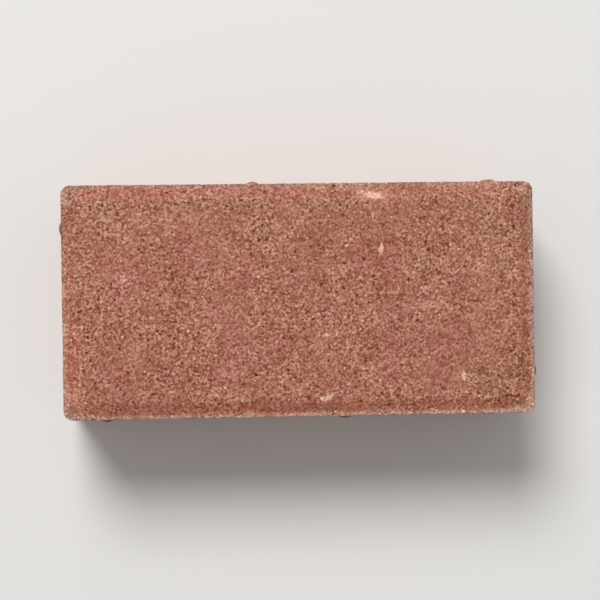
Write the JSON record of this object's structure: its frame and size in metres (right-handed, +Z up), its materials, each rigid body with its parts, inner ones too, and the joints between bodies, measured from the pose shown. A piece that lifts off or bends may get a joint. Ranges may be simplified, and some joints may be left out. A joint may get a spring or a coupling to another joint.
{
  "type": "concrete paving stone",
  "caption": "Rectangular pressed concrete paving stone in red, with a chamfered wearing face and spacer nibs on its sides, for laying in herringbone or other bonds.",
  "frame": {"origin": "centre of the bedding face, on the surface that the stone lies on", "axes": "+X along the stone's length, +Y across its width, +Z up from the bedding face to the wearing face"},
  "size_m": [0.201, 0.101, 0.06],
  "materials": {
    "red_concrete": "matt, fine open grain, pigmented through"
  },
  "bodies": {
    "root": {"paving_stone": "red_concrete"}
  },
  "joints": []
}
